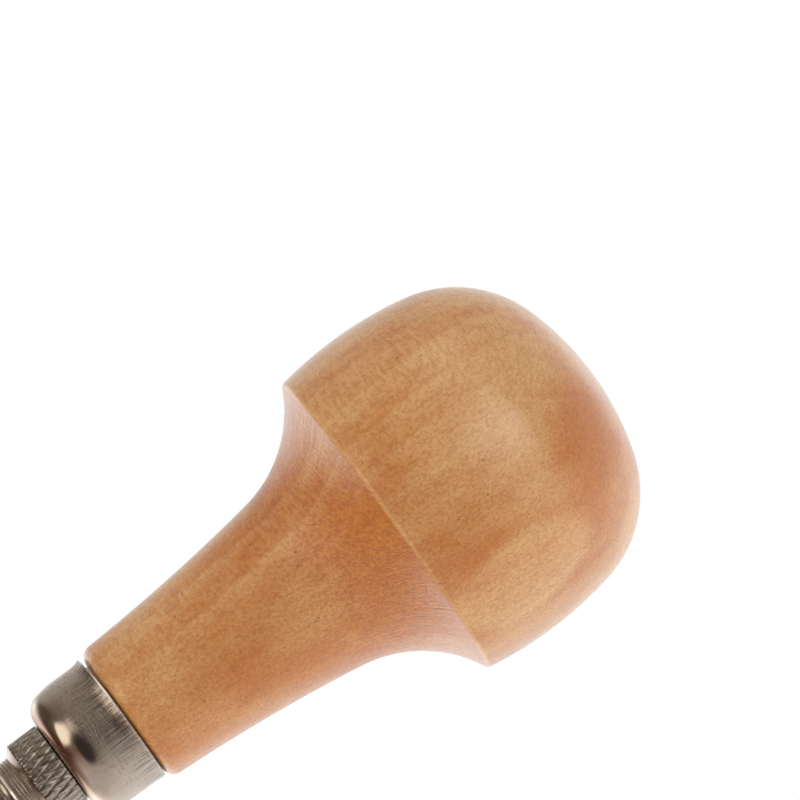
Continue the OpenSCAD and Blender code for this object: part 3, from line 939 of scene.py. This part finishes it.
class PINVISE_OT_chuck_nut(bpy.types.Operator):
    """Turns and knurls the chuck nut"""

    bl_idname = "pinvise.chuck_nut"
    bl_label = "Chuck nut"

    def execute(self, context):
        settings = context.scene.pin_vise
        s, c, tints = settings.nut, settings.collet, settings.finish
        front_z, rear_z = level("chuck_nut", 0), level("chuck_nut", 1)
        nose_z = level("chuck_body", 0)
        bore_r = settings.chuck.thread_d / 2 + s.thread_gap
        mouth_r = c.tip_d / 2 + s.jaw_room
        chamber_r = s.chamber_d / 2
        chamber_z = c.tip_len + (chamber_r - mouth_r) / tan(c.push_angle)
        step_z = nose_z - s.draw_room
        knurl_z = rear_z - s.edge - s.knurl_len
        knurl_r, plain_r = s.knurl_d / 2, s.plain_d / 2
        knurl = Knurl(settings.knurl, s.knurl_d, knurl_z, s.knurl_len, seed=9)
        slope = s.edge / (knurl_r - plain_r)
        outline = Outline(mouth_r, front_z)
        outline.soft(INNER_EDGE).line(s.nose_d / 2, front_z).soft(FACE_EDGE)
        outline.line(plain_r, front_z + s.cone_len, cuts=12).soft(PLAIN_EDGE)
        outline.line(plain_r, knurl_z - s.edge)
        # the knurl and the bevels at its ends, with corners where its lines run out on them
        for part in (1.0, 0.5, 0.0):
            outline.line(knurl_r - knurl.depth * part, knurl_z - knurl.depth * part * slope)
        outline.line(knurl_r, rear_z - s.edge, cuts=knurl.cells)
        for part in (0.5, 1.0):
            outline.line(knurl_r - knurl.depth * part, rear_z - s.edge + knurl.depth * part)
        outline.line(knurl_r - s.edge, rear_z)
        outline.lines((bore_r + PLAIN_EDGE, rear_z), (bore_r, rear_z - PLAIN_EDGE), (bore_r, step_z))
        outline.lines((chamber_r, step_z), (chamber_r, chamber_z), (mouth_r, c.tip_len))
        bm = outline.turned(knurl.steps, closed=True)
        knurl.cut(bm)
        steel = turned_steel(
            "nut_steel", tints.nut, tints.grime, knurl, rough=0.22, spacing=0.3 * MM, dirt=0.55
        )
        finish_piece(bm, "knurled_nut", "nut", ["chuck_nut"], steel, crease=24)
        return {"FINISHED"}


class PINVISE_OT_collet(bpy.types.Operator):
    """Turns the collet's hub, and turns and slits its four jaws"""

    bl_idname = "pinvise.collet"
    bl_label = "Collet"

    def execute(self, context):
        s, tints = context.scene.pin_vise.collet, context.scene.pin_vise.finish
        steel = turned_steel(
            "collet_steel", tints.collet, tints.grime, None, rough=0.3, spacing=0.25 * MM, dirt=0
        )
        bore_r, hub_r = s.shank_d / 2, s.hub_d / 2
        hub_z, hub_end_z = level("collet_hub", 0), level("collet_hub", 1)
        outline = Outline(bore_r, hub_z)
        outline.line(hub_r, hub_z).line(hub_r, hub_end_z).soft(PLAIN_EDGE)
        outline.line(bore_r, hub_end_z).soft(HUB_EDGE)
        hub = outline.turned(COLLET_STEPS, closed=True)
        finish_piece(hub, "collet_hub_turned", "collet", ["collet_hub"], steel)
        for number in range(1, JAWS + 1):
            node = f"collet_jaw_{number}"
            bm = self.jaw(s, level(node, 1))
            turn = Matrix.Rotation((number - 1) * 2 * pi / JAWS, 3, "Z")
            bmesh.ops.rotate(bm, verts=bm.verts, cent=(0, 0, 0), matrix=turn)
            finish_piece(bm, f"collet_jaw_{number}_ground", f"jaw_{number}", [node], steel)
        return {"FINISHED"}

    @staticmethod
    def jaw(s, jaw_z):
        """One quarter of the collet's front, cut off at the slits and closed there."""
        bore_r, tip_r, head_r, finger_r = s.shank_d / 2, s.tip_d / 2, s.head_d / 2, s.finger_d / 2
        land_z = s.tip_len + (head_r - tip_r) / tan(s.push_angle)
        taper_z = land_z + s.land_len
        outline = Outline(bore_r, 0)
        outline.soft(INNER_EDGE).line(tip_r, 0).soft(PLAIN_EDGE).line(tip_r, s.tip_len, cuts=6)
        outline.line(head_r, land_z).soft(FINE_EDGE).line(head_r, taper_z).soft(FINE_EDGE)
        outline.line(finger_r, taper_z + (head_r - finger_r) / tan(s.taper_angle), cuts=6)
        outline.line(finger_r, jaw_z, cuts=4).line(bore_r, jaw_z)
        bm = outline.turned(COLLET_STEPS, closed=True)
        for away in ((1, 0, 0), (0, 1, 0)):
            bmesh.ops.bisect_plane(
                bm, geom=bm.verts[:] + bm.edges[:] + bm.faces[:], dist=1e-8,
                plane_co=Vector(away) * s.slit_w / 2, plane_no=away, clear_inner=True,
            )
            bmesh.ops.holes_fill(bm, edges=[e for e in bm.edges if e.is_boundary], sides=0)
        bmesh.ops.recalc_face_normals(bm, faces=bm.faces)
        return bm


# Stage


# light from around the tool by heading: 0 is its left, 0.25 the camera, 0.5 its right and 0.75 behind it
TENT = [
    (0.00, (0.330, 0.285, 0.245)), (0.12, (0.230, 0.196, 0.165)), (0.19, (0.190, 0.160, 0.135)),
    (0.25, (0.185, 0.156, 0.132)), (0.32, (0.280, 0.245, 0.215)), (0.38, (0.490, 0.460, 0.430)),
    (0.456, (0.720, 0.690, 0.670)), (0.544, (0.870, 0.850, 0.830)), (0.65, (1.000, 1.000, 0.990)),
    (0.75, (1.000, 1.000, 0.990)), (0.80, (0.900, 0.880, 0.870)), (0.85, (0.530, 0.500, 0.480)),
    (0.90, (0.500, 0.470, 0.440)), (0.956, (0.390, 0.345, 0.305)), (1.00, (0.330, 0.285, 0.245)),
]
# the same from below the tool's level
PIT = [
    (0.00, (0.120, 0.090, 0.070)), (0.125, (0.260, 0.210, 0.175)), (0.25, (0.230, 0.135, 0.098)),
    (0.375, (0.580, 0.510, 0.455)), (0.50, (0.740, 0.695, 0.655)), (0.60, (0.750, 0.710, 0.675)),
    (0.65, (1.220, 1.170, 1.120)), (0.69, (1.300, 1.250, 1.200)), (0.75, (1.000, 1.000, 0.990)),
    (0.82, (1.300, 1.270, 1.240)), (0.865, (0.420, 0.385, 0.360)),
    (0.89, (0.130, 0.103, 0.084)), (0.93, (0.100, 0.078, 0.062)), (1.00, (0.120, 0.090, 0.070)),
]
WHITE = (1, 1, 1, 1)
ZENITH = (0.62, 0.60, 0.58, 1)
BELT = (1.20, 1.16, 1.10, 1)
NADIR_LEFT, NADIR_RIGHT = (0.130, 0.068, 0.045, 1), (0.420, 0.350, 0.300, 1)
SOFTBOX = {"heading": 0.126, "wide": 0.068, "up": -0.58, "tall": 0.34, "colour": (1.50, 1.38, 1.15, 1)}
LENS = {"heading": 0.262, "wide": 0.088, "up": -0.25, "tall": 0.16, "colour": (0.045, 0.037, 0.036, 1)}
# share of white in the direct light, and what the backdrop adds to it on the left edge
DIRECT_WHITE = 0.65
LEFT_EDGE = 1.2
FRONT_LAMP = {"towards": (-0.10, -0.89, 0.45), "distance": 0.7, "sides": (0.34, 0.26)}
SIDE_LAMP = {"towards": (-0.56, -0.47, -0.20), "distance": 0.6, "sides": (0.20, 0.20)}
LAMP_TINT = (1.0, 0.97, 0.93)
FLOOR_R = 8
FLOOR_STEPS = 96
FLOOR_GREY = (0.86, 0.86, 0.86, 1)
FLOOR_GLOW = 0.5
SENSOR_W = 36
CLIP_START, CLIP_END = 0.01, 100


def oval(n, heading_share, up, spot):
    """Mask of a soft-edged oval in the surroundings."""
    across = n.math("DIVIDE", n.minus(heading_share, spot["heading"]), spot["wide"])
    above = n.math("DIVIDE", n.minus(up, spot["up"]), spot["tall"])
    return n.span(n.vector("LENGTH", n.add("CombineXYZ", {0: across, 1: above})), 1.2, 0.7)


class PINVISE_OT_stage(bpy.types.Operator):
    """Sets up the floor, the surroundings, the lamps and the camera"""

    bl_idname = "pinvise.stage"
    bl_label = "Stage"

    def execute(self, context):
        scene = context.scene
        s = scene.pin_vise.stage
        scene.view_settings.view_transform = "Standard"
        self.floor(scene, s)
        self.surroundings(scene, s)
        middle = Vector((0, 0, level("wood_handle", 1) - scene.pin_vise.handle.head_h))
        self.lamp(scene, "front_lamp", middle, s.key, **FRONT_LAMP)
        side = self.lamp(scene, "side_lamp", middle, s.side, **SIDE_LAMP)
        side.visible_glossy = False
        self.camera(scene, s, middle)
        return {"FINISHED"}

    @staticmethod
    def floor(scene, s):
        """Wide pale floor that shows white, and grey where the tool shades it."""
        bm = bmesh.new()
        bmesh.ops.create_circle(bm, cap_ends=True, cap_tris=False, segments=FLOOR_STEPS, radius=FLOOR_R)
        bmesh.ops.translate(bm, verts=bm.verts, vec=(0, 0, -s.floor_drop))
        mesh = bpy.data.meshes.new("floor")
        bm.to_mesh(mesh)
        bm.free()
        floor_piece = bpy.data.objects.new("floor", mesh)
        scene.collection.objects.link(floor_piece)
        material = bpy.data.materials.new("pale_floor")
        n = fresh_nodes(material)
        light = n.add("LightPath").node.outputs
        seen = n.math("MAXIMUM", light["Is Glossy Ray"], light["Is Transmission Ray"])
        seen = n.math("MAXIMUM", light["Is Camera Ray"], seen)
        lit = n.add("BsdfDiffuse", {"Color": FLOOR_GREY})
        glow = n.add("Emission", {"Color": WHITE, "Strength": n.times(seen, FLOOR_GLOW)})
        n.output("Material", n.add("AddShader", {0: lit, 1: glow}))
        mesh.materials.append(material)
        floor_piece.visible_glossy = False

    @staticmethod
    def surroundings(scene, s):
        """White for the camera. For the tool, a tent with a dark camera side, a softbox and a lens."""
        scene.world = scene.world or bpy.data.worlds.new("surroundings")
        n = fresh_nodes(scene.world)
        light = n.add("LightPath").node.outputs
        mirrored = light["Is Glossy Ray"]
        ways = n.vector("NORMALIZE", n.add("TexCoord", out="Generated"))
        heading_share = n.add("TexGradient", {0: ways}, out="Fac", gradient_type="RADIAL")
        right, back, up = n.add("SeparateXYZ", {0: ways}).node.outputs
        tent = n.mix(n.span(up, 0.55, 0.95), n.ramp(heading_share, TENT), ZENITH)
        tent = n.mix(n.span(up, -0.06, -0.34), tent, n.ramp(heading_share, PIT))
        belt = n.times(n.span(up, 0.16, 0.30), n.span(up, 0.75, 0.55))
        tent = n.mix(n.times(belt, n.span(back, 0.25, -0.10)), tent, BELT)
        nadir = n.mix(n.span(right, -0.05, 0.40), NADIR_LEFT, NADIR_RIGHT)
        tent = n.mix(n.span(up, -0.78, -0.95), tent, nadir)
        for spot in (LENS, SOFTBOX):
            tent = n.mix(oval(n, heading_share, up, spot), tent, spot["colour"])
        # direct light is paler than what the steel mirrors
        seen = n.mix(mirrored, n.mix(DIRECT_WHITE, tent, WHITE), tent)
        clear = n.math("MAXIMUM", light["Is Camera Ray"], light["Is Transmission Ray"])
        seen = n.mix(clear, seen, WHITE)
        plain = n.math("MAXIMUM", clear, mirrored)
        strength = n.weigh(plain, 1 - s.day, s.day)
        # the ground behind, in reflections only
        low = n.times(n.span(up, -0.08, -0.35, 0.0, s.behind), mirrored)
        low = n.times(low, n.span(back, 0.1, 0.6))
        # the backdrop on both sides, in direct light only
        sides = n.times(n.span(right, -1.0, 1.0, LEFT_EDGE, s.edges), n.minus(1.0, plain))
        aside = n.times(n.span(back, -0.12, 0.35), n.span(back, 0.85, 0.45))
        strength = n.math("ADD", strength, n.weigh(sides, aside, low))
        n.output("World", n.add("Background", {"Color": seen, "Strength": strength}))

    @staticmethod
    def lamp(scene, name, target, brightness, towards, distance, sides):
        """A soft lamp of an even brightness, in the given direction from the target."""
        light = bpy.data.lights.new(name, "AREA")
        light.shape = "RECTANGLE"
        light.size, light.size_y = sides
        light.energy = brightness * pi * sides[0] * sides[1]
        light.color = LAMP_TINT
        lamp = bpy.data.objects.new(name, light)
        way = Vector(towards).normalized()
        facing = way.to_track_quat("Z", "Y").to_matrix().to_4x4()
        lamp.matrix_world = Matrix.Translation(target + way * distance) @ facing
        scene.collection.objects.link(lamp)
        return lamp

    @staticmethod
    def camera(scene, s, middle):
        """The photograph's view: the tool slopes up to the right and leans a little away."""
        ahead = Vector((0, cos(s.lean), sin(s.lean)))
        side, rise = Vector((1, 0, 0)), Vector((0, -sin(s.lean), cos(s.lean)))
        right = cos(s.roll) * rise + sin(s.roll) * side
        up = sin(s.roll) * rise - cos(s.roll) * side
        target = middle + s.shift_x * right + s.shift_y * up
        data = bpy.data.cameras.new("photo_view")
        data.sensor_width = SENSOR_W
        data.lens = data.sensor_width * s.distance / s.view_w
        data.clip_start, data.clip_end = CLIP_START, CLIP_END
        camera = bpy.data.objects.new("photo_view", data)
        turn = Matrix((right, up, -ahead)).transposed().to_4x4()
        camera.matrix_world = Matrix.Translation(target - s.distance * ahead) @ turn
        scene.collection.objects.link(camera)
        scene.camera = camera


STEPS = (
    PINVISE_OT_handle, PINVISE_OT_ferrule, PINVISE_OT_chuck_body, PINVISE_OT_chuck_nut, PINVISE_OT_collet,
    PINVISE_OT_stage,
)


class PINVISE_PT_panel(bpy.types.Panel):
    """Lists the steps that make the pin vise"""

    bl_idname = "PINVISE_PT_panel"
    bl_label = "Pin vise"
    bl_space_type = "VIEW_3D"
    bl_region_type = "UI"
    bl_category = "Pin vise"

    def draw(self, context):
        for step in STEPS:
            self.layout.operator(step.bl_idname)


CLASSES = (
    HandleSizes, FerruleSizes, ChuckSizes, NutSizes, ColletSizes, KnurlSizes, Finishes, StageSettings,
    PinVise, *STEPS, PINVISE_PT_panel,
)


def register():
    for cls in CLASSES:
        bpy.utils.register_class(cls)
    bpy.types.Scene.pin_vise = PointerProperty(type=PinVise)


def unregister():
    del bpy.types.Scene.pin_vise
    for cls in reversed(CLASSES):
        bpy.utils.unregister_class(cls)


def main():
    register()
    bpy.ops.pinvise.handle()
    bpy.ops.pinvise.ferrule()
    bpy.ops.pinvise.chuck_body()
    bpy.ops.pinvise.chuck_nut()
    bpy.ops.pinvise.collet()
    bpy.ops.pinvise.stage()
    bpy.context.view_layer.update()


if __name__ == "__main__":
    main()
